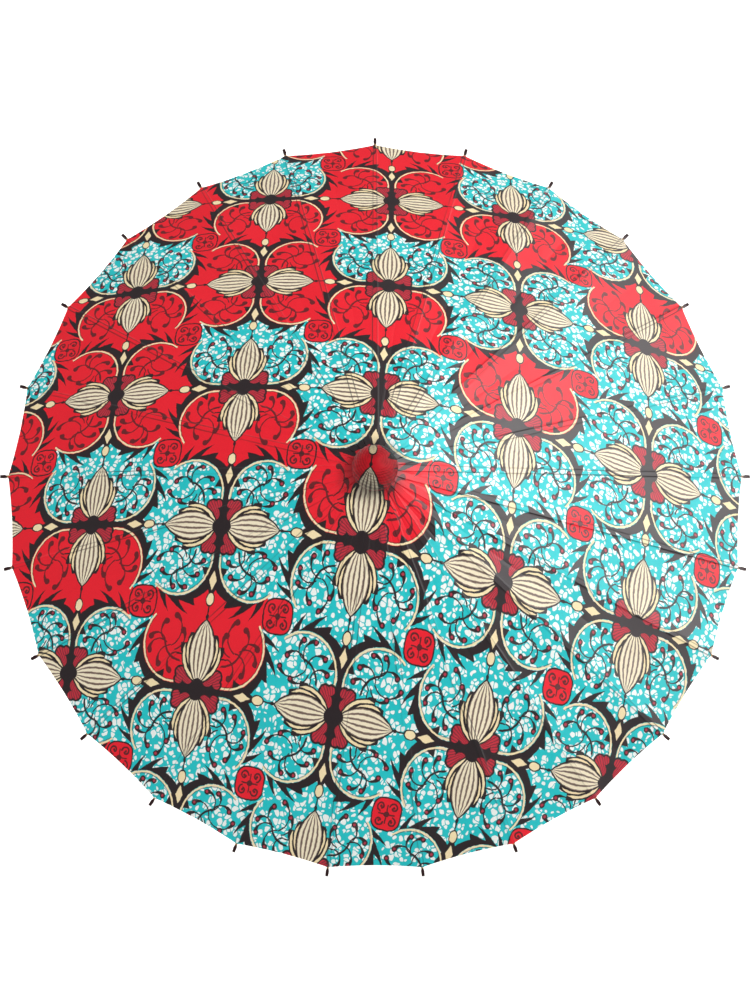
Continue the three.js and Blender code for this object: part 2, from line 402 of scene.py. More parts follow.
    # petals
    yp = y * (1 / 1.12)
    rA = B.length(x + 0.030, yp - 0.205)
    rB = B.length(x + 0.030, yp - 0.215)
    jag = B.fract(yp * 17.0 - 0.12)
    pet_dark = B.lt(rA, 0.179 - B.max(0.0, yp - 0.195) * 0.56 + B.gt(yp, 0.175) * jag * 0.042) * B.lt(yp, 0.335)
    petA = B.lt(B.abs(rA - 0.161), B.min(0.0085, (0.240 - yp) * 0.22))
    petB = B.lt(B.abs(rB - 0.136), B.min(0.0072, (0.285 - yp) * 0.22))
    petC = B.lt(B.abs(rB - 0.1165), B.min(0.0036, (0.285 - yp) * 0.2))

    # striped bud
    rho = 0.2560; a0 = 0.1680; cy = 0.226     # half length 0.193, half width 0.088
    bd = B.length(x + a0, y - cy)
    bud_out = B.lt(bd, rho + 0.0090); bud_in = B.lt(bd, rho)
    hw = B.sqrt(B.max(rho * rho - (y - cy) * (y - cy), 0.02826)) - a0
    sp = x / B.max(hw, 0.0005)
    f = B.abs(B.fract(sp * 2.5) - 0.5) * 2.0
    bud_cream = B.gt(f, 0.42)
    bud_line = B.lt(f, 0.10)

    # bead chains
    link = B.max(B.lt(x, 0.0050) * B.gt(y, 0.40), B.lt(y, 0.0050) * B.gt(x, 0.33))
    be = B.length((x - 0.452) * (1 / 0.037), y * (1 / 0.025))
    di = B.abs(x - 0.338) * (1 / 0.060) + y * (1 / 0.028)
    bead_out = B.max(B.lt(be, 1.28), B.lt(di, 1.30))
    bead_in = B.max(B.lt(be, 1.0), B.lt(di, 1.0))
    knot = B.lt(B.length(x, (y - 0.440) * 0.7), 0.011)
    hub = B.lt(B.length(x * 0.80, y * 0.62), 0.043)
    return dict(red=red, dark=dark, thin=thin, cream=cream, vine=vine, tips=tips,
                sq_in=sq_in, sq_out=sq_out, scroll=scroll, cal_out=cal_out, cal_in=cal_in, hatch=hatch,
                pet_dark=pet_dark, petA=petA, petB=B.max(petB, petC),
                bud_out=bud_out, bud_in=bud_in, bud_cream=bud_cream, bud_line=bud_line,
                link=link, bead_out=bead_out, bead_in=bead_in, knot=knot, hub=hub)


INK = dict(
    red=srgb(230, 2, 32), turq=srgb(10, 190, 194), white=srgb(238, 241, 236), dark=srgb(27, 12, 17),
    cream=srgb(240, 220, 174), taupe=srgb(140, 120, 104), line=srgb(70, 48, 46), budc=srgb(238, 226, 196),
    tip=srgb(176, 46, 66), cal=srgb(190, 34, 52), cald=srgb(110, 22, 38),
)


def print_group():
    g = bpy.data.node_groups.new("printed_pattern", "ShaderNodeTree")
    g.interface.new_socket("Colour", in_out="OUTPUT", socket_type="NodeSocketColor")
    g.interface.new_socket("Ink", in_out="OUTPUT", socket_type="NodeSocketFloat")
    B = Net(g)
    at = B.new("ShaderNodeAttribute", attribute_name="print_uv")
    raw = at.outputs["Vector"]
    u0, v0, _ = B.xyz(raw)
    # the ink's edge wanders a little
    wob = B.noise(raw, 34.0, 1.5, dims="2D")
    wu, wv, _ = B.xyz(wob.outputs["Color"])
    U = u0 + (wu - 0.5) * 0.0075
    V = v0 + (wv - 0.5) * 0.0075
    m = artwork(B, U, V)

    # crackled ground: rounded pale drops of many sizes in turquoise
    warp = B.noise(raw, 17.0, 1.0, dims="2D")
    a, b, _ = B.xyz(warp.outputs["Color"])
    place = B.vec(u0 + (a - 0.5) * 0.040, v0 + (b - 0.5) * 0.040)
    cell = B.new("ShaderNodeTexVoronoi", voronoi_dimensions="2D", feature="F1")
    B.feed(cell.inputs["Vector"], place)
    cell.inputs["Scale"].default_value = 23.0
    size, _, _ = B.xyz(cell.outputs["Color"])
    rim = B.new("ShaderNodeTexVoronoi", voronoi_dimensions="2D", feature="DISTANCE_TO_EDGE")
    B.feed(rim.inputs["Vector"], place)
    rim.inputs["Scale"].default_value = 23.0
    drop = B.lt(E(B, cell.outputs["Distance"]), 0.18 + size * 0.34) * B.gt(E(B, rim.outputs["Distance"]), 0.070)

    c = B.blend(INK["turq"], INK["white"], drop)
    c = B.blend(c, INK["red"], m["red"])
    c = B.blend(c, INK["dark"], m["vine"] * (1.0 - 0.14 * m["red"]))
    c = B.blend(c, INK["tip"], m["tips"] * (1.0 - m["red"]))
    c = B.blend(c, INK["dark"], B.max(m["dark"], m["thin"] * 0.6))
    c = B.blend(c, INK["cream"], m["cream"])
    c = B.blend(c, INK["dark"], m["sq_out"])
    c = B.blend(c, INK["red"], m["sq_in"])
    c = B.blend(c, INK["dark"], m["sq_in"] * m["scroll"] * 0.9)
    c = B.blend(c, INK["dark"], m["cal_out"])
    c = B.blend(c, INK["cal"], m["cal_in"])
    c = B.blend(c, INK["cald"], m["cal_in"] * m["hatch"])
    c = B.blend(c, INK["dark"], m["pet_dark"])
    c = B.blend(c, INK["cream"], B.max(m["petA"], m["petB"] * m["pet_dark"]))
    c = B.blend(c, INK["dark"], B.max(m["link"], m["bead_out"]))
    c = B.blend(c, INK["cream"], m["bead_in"])
    c = B.blend(c, INK["dark"], B.max(m["knot"], m["bud_out"]))
    c = B.blend(c, INK["taupe"], m["bud_in"])
    c = B.blend(c, INK["budc"], m["bud_in"] * m["bud_cream"])
    c = B.blend(c, INK["line"], m["bud_in"] * m["bud_line"])
    c = B.blend(c, INK["dark"], m["hub"])
    out = B.new("NodeGroupOutput")
    B.feed(out.inputs[0], c)
    ink = B.max(B.max(m["dark"], m["bud_out"]), B.max(m["red"], m["pet_dark"]))
    B.feed(out.inputs[1], ink)
    return g


PRINT = print_group()


# ------------------------------------------------------------------ materials
def material(name):
    m = bpy.data.materials.new(name)
    m.use_nodes = True
    t = m.node_tree
    t.nodes.clear()
    B = Net(t)
    out = B.new("ShaderNodeOutputMaterial")
    p = B.new("ShaderNodeBsdfPrincipled")
    t.links.new(p.outputs[0], out.inputs["Surface"])
    return m, B, p


def bump(B, p, height, distance, strength=1.0):
    n = B.new("ShaderNodeBump")
    n.inputs["Strength"].default_value = strength
    n.inputs["Distance"].default_value = distance
    B.feed(n.inputs["Height"], height)
    B.tree.links.new(n.outputs[0], p.inputs["Normal"])
    return n


def object_place(B):
    return B.new("ShaderNodeTexCoord").outputs["Object"]


def weave(B, place, per_metre):
    """Height of a plain weave of threads along x and y."""
    x, y, _ = B.xyz(place)
    wob = B.value_noise(place, 60.0, 2.0) * 0.8
    sx = B.sin((x * per_metre + wob) * (2 * math.pi))
    sy = B.sin((y * per_metre + wob) * (2 * math.pi))
    return (sx * sy) * 0.5 + 0.5


def printed(name, through=0.0, weave_bump=0.00004, rough=0.42, folds=True, sheen=0.04, gloss=0.85):
    m, B, p = material(name)
    grp = B.new("ShaderNodeGroup")
    grp.node_tree = PRINT
    place = object_place(B)
    c = grp.outputs[0]
    threads = weave(B, place, 900.0)
    mottled = B.value_noise(place, 26.0, 3.0, 0.6)
    fibres = B.value_noise(place, 900.0, 2.0, 0.7)
    shade = 0.93 + mottled * 0.10 + (fibres - 0.5) * 0.26 + (threads - 0.5) * 0.07
    if folds:
        # painted shade round the foot of the cap: the cloth darkened in a mottled ring there
        _, ring, _ = B.xyz(B.new("ShaderNodeAttribute", attribute_name="gore").outputs["Vector"])
        cap_foot_shade = B.power(B.clamp(1.0 - (ring - 0.002) * (1 / 0.024)), 1.5)
        shade = shade * (1.0 - cap_foot_shade * (0.50 + mottled * 0.40))
        # and painted shade in thin broken dark lines along the creases beside the ribs
        turn, out, off = B.xyz(B.new("ShaderNodeAttribute", attribute_name="gore").outputs["Vector"])
        crease_shade_breaks = B.value_noise(B.vec(B.floor(turn + 0.5) * 3.7, out * 9.0, 1.0), 1.0, 2.0, 0.5)
        line = (1.0 - B.ramp(off, 0.0003, 0.0011)) * B.ramp(crease_shade_breaks, 0.36, 0.60) * B.ramp(out, 0.02, 0.08)
        shade = shade * (1.0 - line * 0.74)
    else:
        # painted shade: the cloth darker in the depths of its folds and towards the foot of the cap
        fold, foot_shade, _ = B.xyz(B.new("ShaderNodeAttribute", attribute_name="fold").outputs["Vector"])
        shade = shade * (0.48 - fold * 0.40 - foot_shade * 0.34)
    c = B.gain(c, shade)
    if through > 0:
        c = B.blend(c, srgb(240, 232, 214), through)
        cloud = B.value_noise(place, 11.0, 4.0, 0.6)
        c = B.gain(c, 0.86 + cloud * 0.2)
    B.feed(p.inputs["Base Color"], c)
    r = rough + (mottled - 0.5) * 0.12 + (fibres - 0.5) * 0.10 + E(B, grp.outputs[1]) * -0.03
    B.feed(p.inputs["Roughness"], r)
    p.inputs["Specular IOR Level"].default_value = gloss
    p.inputs["Sheen Weight"].default_value = sheen
    p.inputs["Sheen Roughness"].default_value = 0.45
    h = threads * 0.25 + fibres * 0.75
    if folds:
        # radial creases of the pleats, strongest near the cap, and slack between the ribs
        at = B.new("ShaderNodeAttribute", attribute_name="gore")
        g, rad, w = B.xyz(at.outputs["Vector"])
        crease = B.value_noise(B.vec(g * 5.5, rad * 6.0, 0.0), 1.0, 3.0, 0.6)
        crease = B.abs(crease - 0.5) * 2.0
        near = B.power(B.clamp(1.0 - rad * 4.2), 1.6)
        slack = B.value_noise(B.vec(g * 2.2, rad * 16.0, 3.0), 1.0, 2.0, 0.5)
        h = h + crease * (1.0 + near * 7.0) * 0.9 + slack * 3.0
    bump(B, p, h, weave_bump)
    return m


MAT_TOP = printed("canopy_print")
MAT_UNDER = printed("canopy_underside", through=0.62, rough=0.62, weave_bump=0.00003, sheen=0.15, gloss=0.4)
MAT_CAP = printed("cap_print", rough=0.55, folds=False, weave_bump=0.00006, sheen=0.05, gloss=0.35)


def wood(name, light, dark, along="x", rough=0.5, fibre=1.0, lacquer=0.0, pores=0.5, tip=None, nodes_every=None):
    """Fine straight grain along one axis of the object, with pores, streaks and wear."""
    m, B, p = material(name)
    place = object_place(B)
    x, y, z = B.xyz(place)
    k = {"x": (x, y, z), "z": (z, x, y)}[along]
    rnd = E(B, B.new("ShaderNodeObjectInfo").outputs["Random"])
    shift = rnd * 7.0
    long = B.vec(k[0] * 6.0 + shift, k[1] * 330.0 * fibre, k[2] * 330.0 * fibre)
    streak = B.value_noise(long, 1.0, 4.0, 0.65, 0.3)
    fine = B.value_noise(B.vec(k[0] * 22.0 + shift, k[1] * 1500.0 * fibre, k[2] * 1500.0 * fibre), 1.0, 3.0, 0.6)
    broad = B.value_noise(B.vec(k[0] * 3.0 + shift, k[1] * 40.0, k[2] * 40.0), 1.0, 2.0, 0.5)
    t = B.clamp((streak - 0.32) * 2.3 * 0.6 + broad * 0.4 + (rnd - 0.5) * 0.22)
    c = B.blend(dark, light, t)
    pore = B.ramp(fine, 0.60, 0.72) * pores
    c = B.gain(c, 1.0 - pore * 0.35)
    r = rough + (streak - 0.5) * 0.22 + pore * 0.12
    h = streak * 0.5 + fine * 0.4 - pore * 0.5
    if nodes_every:
        # the joints of the cane: a paler ring with a dark line
        cycle = B.fract(k[0] * (1.0 / nodes_every) + rnd)
        ring = 1.0 - B.ramp(B.abs(cycle - 0.5), 0.006, 0.016)
        line = 1.0 - B.ramp(B.abs(cycle - 0.512), 0.001, 0.004)
        c = B.blend(c, dark, line * 0.7)
        h = h + ring * 1.2
    if tip:
        start, colour = tip
        stain = B.ramp(x + (streak - 0.5) * 0.004, start - 0.0006, start + 0.0010)
        c = B.blend(c, B.gain(colour, 0.75 + streak * 0.5), stain)
        r = B.mix(r, 0.30 + (streak - 0.5) * 0.1, stain)
    B.feed(p.inputs["Base Color"], c)
    B.feed(p.inputs["Roughness"], r)
    if lacquer:
        p.inputs["Coat Weight"].default_value = lacquer
        p.inputs["Coat Roughness"].default_value = 0.12
    bump(B, p, h, 0.00010)
    return m


MAT_RIB = wood("rib_bamboo_grain", srgb(206, 166, 112), srgb(150, 106, 60), rough=0.48, tip=(0.4285, srgb(40, 12, 16)), nodes_every=0.31)
MAT_STRETCHER = wood("stretcher_bamboo_grain", srgb(214, 176, 122), srgb(164, 120, 72), rough=0.5, nodes_every=0.27)
MAT_TURNED = wood("turned_wood_grain", srgb(232, 208, 164), srgb(196, 160, 108), along="z", rough=0.5, fibre=0.35, lacquer=0.15)
MAT_POLE = wood("pole_wood_grain", srgb(216, 178, 124), srgb(168, 122, 72), along="z", rough=0.42, fibre=0.5, lacquer=0.25)
MAT_HANDLE = wood("handle_wood_grain", srgb(126, 66, 34), srgb(58, 24, 14), along="z", rough=0.32, fibre=0.3, lacquer=0.6)


def metal(name, colour, rough, along="z"):
    m, B, p = material(name)
    place = object_place(B)
    x, y, z = B.xyz(place)
    drawn = B.value_noise(B.vec(x * 2400.0, y * 2400.0, z * 260.0), 1.0, 3.0, 0.6)
    spots = B.value_noise(place, 220.0, 3.0, 0.6)
    rust = B.ramp(spots, 0.60, 0.74)
    c = B.blend(B.gain(colour, 0.85 + drawn * 0.3), srgb(112, 78, 52), rust * 0.35)
    B.feed(p.inputs["Base Color"], c)
    B.feed(p.inputs["Roughness"], rough + drawn * 0.14 + rust * 0.25)
    B.feed(p.inputs["Metallic"], 1.0 - rust * 0.35)
    bump(B, p, drawn + spots * 0.5, 0.00003)
    return m


MAT_WIRE = metal("drawn_wire", srgb(190, 188, 182), 0.28)
MAT_SPRING = metal("spring_strip", srgb(196, 188, 168), 0.26)


def thread(name, light, dark):
    m, B, p = material(name)
    place = object_place(B)
    x, y, z = B.xyz(place)
    a = B.atan2(y, x)
    twist = B.sin(a * 260.0 + z * 9000.0) * 0.5 + 0.5
    fuzz = B.value_noise(place, 1500.0, 2.0, 0.7)
    tone = B.value_noise(place, 90.0, 2.0, 0.5)
    c = B.blend(dark, light, B.clamp(twist * 0.6 + fuzz * 0.5 - 0.05))
    B.feed(p.inputs["Base Color"], B.gain(c, 0.8 + tone * 0.4))
    B.feed(p.inputs["Roughness"], 0.62 + fuzz * 0.2)
    p.inputs["Sheen Weight"].default_value = 0.3
    p.inputs["Sheen Roughness"].default_value = 0.4
    bump(B, p, twist * 0.7 + fuzz * 0.5, 0.00008)
    return m


MAT_THREAD = thread("wound_thread", srgb(176, 30, 44), srgb(84, 8, 18))


# ------------------------------------------------------------------ mesh helpers
def mesh_object(name, points, faces, mats, which=None, smooth=True):
    me = bpy.data.meshes.new(name)
    me.from_pydata([tuple(p) for p in points], [], [tuple(f) for f in faces])
    for m in mats:
        me.materials.append(m)
    if which is not None:
        me.polygons.foreach_set("material_index", np.asarray(which, np.int32))
    me.polygons.foreach_set("use_smooth", np.full(len(me.polygons), smooth))
    me.update()
    o = bpy.data.objects.new(name, me)
    scene.collection.objects.link(o)
    return o


def vector_attribute(o, name, values):
    a = o.data.attributes.new(name, "FLOAT_VECTOR", "POINT")
    a.data.foreach_set("vector", np.asarray(values, np.float32).ravel())


def print_places(o):
    co = np.array([v.co for v in o.data.vertices], float)
    u, v = lattice(co[:, 0], co[:, 1])
    vector_attribute(o, "print_uv", np.stack([u, v, np.zeros_like(u)], 1))


def sharpen(o, degrees):
    """Smooth faces, with the edges sharper than this left as edges."""
    me = o.data
    bm = bmesh.new()
    bm.from_mesh(me)
    limit = math.radians(degrees)
    for e in bm.edges:
        e.smooth = not (len(e.link_faces) == 2 and e.calc_face_angle(0) > limit)
    for f in bm.faces:
        f.smooth = True
    bm.to_mesh(me)
    bm.free()


def lathe(name, profile, mats, segments=96, closed=True, twist=0.0, wobble=None):
    """Body of revolution round z; profile points are (radius, height) in mm."""
    pts, faces = [], []
    n = len(profile)
    rings = []
    for r, z in profile:
        if r <= 1e-9:
            rings.append([len(pts)])
            pts.append((0, 0, z * MM))
            continue
        ring = []
        for k in range(segments):
            a = 2 * math.pi * k / segments + twist
            q = r + (wobble(a, r, z) if wobble else 0.0)
            ring.append(len(pts))
            pts.append((q * math.cos(a) * MM, q * math.sin(a) * MM, z * MM))
        rings.append(ring)
    pairs = [(i, i + 1) for i in range(n - 1)] + ([(n - 1, 0)] if closed else [])
    for i, j in pairs:
        a, b = rings[i], rings[j]
        if len(a) == 1 and len(b) == 1:
            continue
        for k in range(segments):
            k2 = (k + 1) % segments
            if len(a) == 1:
                faces.append((a[0], b[k], b[k2]))
            elif len(b) == 1:
                faces.append((a[k], b[0], a[k2]))
            else:
                faces.append((a[k], b[k], b[k2], a[k2]))
    o = mesh_object(name, pts, faces, mats)
    outward(o)
    return o


def outward(o):
    bm = bmesh.new()
    bm.from_mesh(o.data)
    bmesh.ops.recalc_face_normals(bm, faces=bm.faces)
    if bm.calc_volume(signed=True) < 0:
        bmesh.ops.reverse_faces(bm, faces=bm.faces)
    bm.to_mesh(o.data)
    bm.free()


def rounded(profile, radius, steps=4, keep_ends=False):
    """The same closed profile with its corners rounded."""
    out = []
    n = len(profile)
    for i in range(n):
        p0, p, p1 = (np.array(profile[j % n], float) for j in (i - 1, i, i + 1))
        a, b = p0 - p, p1 - p
        la, lb = np.linalg.norm(a), np.linalg.norm(b)
        if p[0] <= 1e-9 or la < 1e-9 or lb < 1e-9:
            out.append(tuple(p))
            continue
        d = min(radius, la * 0.45, lb * 0.45)
        q0, q1 = p + a / la * d, p + b / lb * d
        for k in range(steps + 1):
            t = k / steps
            out.append(tuple((1 - t) ** 2 * q0 + 2 * t * (1 - t) * p + t * t * q1))
    return out


def boxes(name, quads):
    """Several closed prisms in one mesh: each is (plan outline, low, high) in mm."""
    pts, faces = [], []
    for outline, lo, hi in quads:
        n, s = len(outline), len(pts)
        pts += [(x * MM, y * MM, lo * MM) for x, y in outline] + [(x * MM, y * MM, hi * MM) for x, y in outline]
        faces.append([s + k for k in reversed(range(n))])
        faces.append([s + n + k for k in range(n)])
        faces += [(s + k, s + (k + 1) % n, s + n + (k + 1) % n, s + n + k) for k in range(n)]
    return mesh_object(name, pts, faces, [], smooth=False)


def cut(o, cutter):
    mod = o.modifiers.new("cut", "BOOLEAN")
    mod.operation, mod.solver, mod.object = "DIFFERENCE", "EXACT", cutter
    dg = bpy.context.evaluated_depsgraph_get()
    me = bpy.data.meshes.new_from_object(o.evaluated_get(dg))
    o.modifiers.clear()
    old = o.data
    o.data = me
    me.name = old.name
    bpy.data.meshes.remove(old)
    bpy.data.objects.remove(cutter)


def bevel(o, width, segments=2, angle=28):
    """Rounds the edges of a mesh."""
    mod = o.modifiers.new("edge", "BEVEL")
    mod.width, mod.segments = width, segments
    mod.limit_method, mod.angle_limit = "ANGLE", math.radians(angle)
    mod.use_clamp_overlap = True
    mod.harden_normals = False
    dg = bpy.context.evaluated_depsgraph_get()
    me = bpy.data.meshes.new_from_object(o.evaluated_get(dg))
    o.modifiers.clear()
    old = o.data
    o.data = me
    me.name = old.name
    bpy.data.meshes.remove(old)


# ------------------------------------------------------------------ ribs and stretchers
def stick_from(node, frame_matrix, mat, name, width, segments=2):
    """A CAD stick, in its own local frame, with its flat facets merged and its edges rounded."""
    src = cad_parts[node]
    me = src.data.copy()
    me.transform(frame_matrix.inverted())
    me.materials.clear()
    me.materials.append(mat)
    for a in [a.name for a in me.attributes if a.name not in ("position", ".edge_verts", ".corner_vert", ".corner_edge", "material_index")]:
        try:
            me.attributes.remove(me.attributes[a])
        except (RuntimeError, KeyError):
            pass
    bm = bmesh.new()
    bm.from_mesh(me)
    bmesh.ops.remove_doubles(bm, verts=bm.verts, dist=2e-6)
    bmesh.ops.dissolve_limit(bm, angle_limit=math.radians(0.6), verts=bm.verts, edges=bm.edges)
    bmesh.ops.recalc_face_normals(bm, faces=bm.faces)
    bm.to_mesh(me)
    bm.free()
    me.polygons.foreach_set("material_index", np.zeros(len(me.polygons), np.int32))
    o = bpy.data.objects.new(name, me)
    scene.collection.objects.link(o)
    bevel(o, width, segments, 24)
    sharpen(o, 38)
    return o


def rib_matrix(i):
    return (Matrix.Rotation(AZ[i], 4, "Z") @ Matrix.Translation((HINGE_R * MM, 0, HUB_Z * MM))
            @ Matrix.Rotation(OPEN, 4, "Y"))


def stretcher_matrix(i):
    return (Matrix.Rotation(AZ[i], 4, "Z") @ Matrix.Translation((HINGE_R * MM, 0, RUNNER_Z * MM))
            @ Matrix.Rotation(-OPEN, 4, "Y"))


rib_master = stick_from("rib_01", rib_matrix(0), MAT_RIB, "rib_01_bamboo", 0.00028)
str_master = stick_from("stretcher_01", stretcher_matrix(0), MAT_STRETCHER, "stretcher_01_bamboo", 0.00026)
for i in range(RIBS):
    two = "%02d" % (i + 1)
    for master, kind, matrix in ((rib_master, "rib", rib_matrix(i)), (str_master, "stretcher", stretcher_matrix(i))):
        o = master
        if i:
            o = bpy.data.objects.new("%s_%s_bamboo" % (kind, two), master.data)
            scene.collection.objects.link(o)
        o.matrix_world = matrix
        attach(o, "%s_%s" % (kind, two))
        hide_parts("%s_%s" % (kind, two))

# ------------------------------------------------------------------ canopy
GLUE = 0.06                       # between the stick and its paper
PAPER = 0.36                      # thickness of the printed cloth on its paper
LOW = RIB_TOP + GLUE
KEEP = 0.02
TAU = 0.058
PHI = math.acos(math.sqrt((1 - TAU) / (1 - KEEP)))
DELTA = (1 - KEEP) * math.cos(PHI) * math.sin(PHI)
RHO0 = (22.9 - HINGE_R - LOW * math.sin(OPEN)) / math.cos(OPEN)


def axes(i):
    a = AZ[i % RIBS]
    er = np.array([math.cos(a), math.sin(a), 0.0])
    et = np.array([-math.sin(a), math.cos(a), 0.0]) * TURN   # towards the next rib
    ez = np.array([0.0, 0.0, 1.0])
    hinge = er * HINGE_R + ez * HUB_Z
    along = er * math.cos(OPEN) - ez * math.sin(OPEN)
    up = er * math.sin(OPEN) + ez * math.cos(OPEN)
    return hinge, along, et, up


def strip_half(rho):
    """Half the width of the paper that stays on the rib, so that the folded gores just meet."""
    r_open = HINGE_R + rho * math.cos(OPEN) + LOW * math.sin(OPEN)
    r_shut = HINGE_R + rho * math.cos(CLOSED) + LOW * math.sin(CLOSED)
    share = TAU + DELTA * T
    return min(T * (r_shut - share * r_open) / (1 - share), r_open * T - 0.28)


STEPS = 72
RHO = [RHO0 + (CANOPY_END - RHO0) * (k / STEPS) ** 1.12 for k in range(STEPS + 1)]


def rim_pull(rho, t):
    """The free edge draws in between the ribs."""
    near = max(0.0, 1 - (CANOPY_END - rho) / 60.0)
    return -1.7 * near * near * (1 - (2 * t - 1) ** 2)


def sheet_mesh(name, grid, normals, gores, side_smooth=True):
    """A closed thin sheet from a grid of its lower-face points, thickened along the normals."""
    rows, cols = len(grid), len(grid[0])
    low = np.array(grid, float)
    nrm = np.array(normals, float)
    top = low + nrm * PAPER
    pts = np.concatenate([top.reshape(-1, 3), low.reshape(-1, 3)]) * MM
    n = rows * cols
    at = lambda r, c, s: s * n + r * cols + c
    faces, which = [], []
    for r in range(rows - 1):
        for c in range(cols - 1):
            faces.append((at(r, c, 0), at(r + 1, c, 0), at(r + 1, c + 1, 0), at(r, c + 1, 0))); which.append(0)
            faces.append((at(r, c, 1), at(r, c + 1, 1), at(r + 1, c + 1, 1), at(r + 1, c, 1))); which.append(1)
    edge = ([(r, 0) for r in range(rows)] + [(rows - 1, c) for c in range(1, cols)]
            + [(r, cols - 1) for r in range(rows - 2, -1, -1)] + [(0, c) for c in range(cols - 2, 0, -1)])
    for a, b in zip(edge, edge[1:] + edge[:1]):
        faces.append((at(*a, 0), at(*a, 1), at(*b, 1), at(*b, 0))); which.append(0)
    o = mesh_object(name, pts, faces, [MAT_TOP, MAT_UNDER], which)
    outward(o)
    bm = bmesh.new()
    bm.from_mesh(o.data)
    for e in bm.edges:
        fs = e.link_faces
        e.smooth = not (len(fs) == 2 and e.calc_face_angle(0) > math.radians(40))
    bm.to_mesh(o.data)
    bm.free()
    g = np.array(gores, float).reshape(-1, 3)
    vector_attribute(o, "gore", np.concatenate([g, g]))
    print_places(o)
    return o


def slump(rho, t, who):
    """How far the gore hangs under the straight line between two ribs, in mm."""
    wide = 2 * (HINGE_R + rho * math.cos(OPEN)) * T
    u = min(t, 1 - t) * wide
    ridge = 0.58 * (1 - math.exp(-((u / 0.90) ** 1.8)))
    belly = 0.010 * wide * (1 - (2 * t - 1) ** 2)
    seam = 0.30 * math.exp(-abs(t - 0.5) * wide / 2.2)
    ripple = 0.10 * noise.noise(Vector((who * 1.7 + t * 3.0, rho * 0.013, 4.0))) * min(1.0, u / 8)
    return ridge + belly + seam + ripple


CUTS = [0.0, 0.55, 1.15, 1.9, 3.0]       # mm from the paper's edge on the rib
for i in range(RIBS):
    two = "%02d" % (i + 1)
    body = "rib_" + two
    hinge, along, et, up = axes(i)
    # the band glued on the rib
    grid, nrm, gor = [], [], []
    for rho in RHO:
        w = strip_half(rho)
        row, rn, rg = [], [], []
        for f in (-1.0, -0.5, 0.0, 0.5, 1.0):
            row.append(hinge + along * rho + et * (w * f) + up * LOW)
            rn.append(up)
            rg.append((i + f * 0.03, rho * MM, (w * (1 - abs(f)) + 0.3) * MM))
        grid.append(row); nrm.append(rn); gor.append(rg)
    strip = sheet_mesh("canopy_band_" + two, grid, nrm, gor)
    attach(strip, body)
    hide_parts("canopy")

    # the two halves of the gore on either side of it
    for side, letter in ((1, "a"), (-1, "b")):
        j = (i + side) % RIBS
        h2, al2, et2, up2 = axes(j)
        grid, nrm, gor = [], [], []
        for rho in RHO:
            w = strip_half(rho)
            base = HINGE_R + rho * math.cos(OPEN) + LOW * math.sin(OPEN)
            wide = 2 * (base * T - w)
            start = hinge + along * rho + et * (side * w) + up * LOW
            stop = h2 + al2 * rho + et2 * (-side * w) + up2 * LOW
            cross = (stop - start) / np.linalg.norm(stop - start)
            half = wide / 2
            ts = [min(u, half) / wide for u in CUTS if u < half * 0.8]
            while len(ts) < len(CUTS):
                ts.append(ts[-1] + (0.5 - ts[-1]) * 0.3)
            rest = 7
            last = ts[-1]
            ts += [last + (0.5 - last) * ((k + 1) / rest) for k in range(rest)]
            lie = (along + al2) / 2
            n = np.cross(cross * side, lie) * -TURN
            n = n / np.linalg.norm(n)
            if n[2] < 0:
                n = -n
            row, rn, rg = [], [], []
            for t in ts:
                p = start * (1 - t) + stop * t
                who = i if side > 0 else j
                tt = t if side > 0 else 1 - t
                p = p - n * slump(rho, t, who) + lie * rim_pull(rho, t)
                # thickness turns from the rib's own up to the gore's
                mixn = up * max(0.0, 1 - t * wide / 1.2) + n * min(1.0, t * wide / 1.2)
                row.append(p)
                rn.append(mixn / np.linalg.norm(mixn))
                rg.append((who + tt, rho * MM, t * wide * MM))
            grid.append(row); nrm.append(rn); gor.append(rg)
        o = sheet_mesh("canopy_gore_%s%s" % (two, letter), grid, nrm, gor)
        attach(o, body)
        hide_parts("canopy")
        # the line of the band's edge and the normal of the gore's plane through it, which nothing below uses
        e0 = np.array(grid[0][0]); e1 = np.array(grid[-1][0])
        line = (e1 - e0) / np.linalg.norm(e1 - e0)
        mid0, mid1 = np.array(grid[-1][-1]), np.array(grid[-1][0])
        inpanel = mid0 - mid1
        inpanel = inpanel - line * (inpanel @ line)
        inpanel = inpanel / np.linalg.norm(inpanel)
        pn = np.cross(line, inpanel)
        if pn[2] < 0:
            pn = -pn
        tuple((e0 + up * PAPER / 2) * MM)
        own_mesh(o)

# ------------------------------------------------------------------ hub, runner, pole, handle
def slot_cutters(low, high):
    return [([(x * math.cos(a) - y * math.sin(a), x * math.sin(a) + y * math.cos(a))
              for x, y in ((14.4, -1.15), (40, -1.15), (40, 1.15), (14.4, 1.15))], low, high) for a in AZ]


H, R0 = HUB_Z, RUNNER_Z
hub_profile = [
    (6.4, H + 6.0), (21, H + 6.0), (22, H + 5.0), (22, H + 1.2), (17.3, H + 1.2), (17.3, H - 1.2),
    (22, H - 1.2), (22, H - 5.0), (21, H - 6.0), (13, H - 6.0), (12.4, H - 8.5), (12.8, H - 20), (11, H - 22), (6.4, H - 22),
]
hub = lathe("upper_hub_turned", rounded(hub_profile, 0.45, 3), [MAT_TURNED], 100, twist=AZ[0] + SECTOR / 8)
cut(hub, boxes("hub_cut", slot_cutters(H - 9, H + 3.9)))
sharpen(hub, 35)
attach(hub, "pole_frame"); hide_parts("upper_hub")

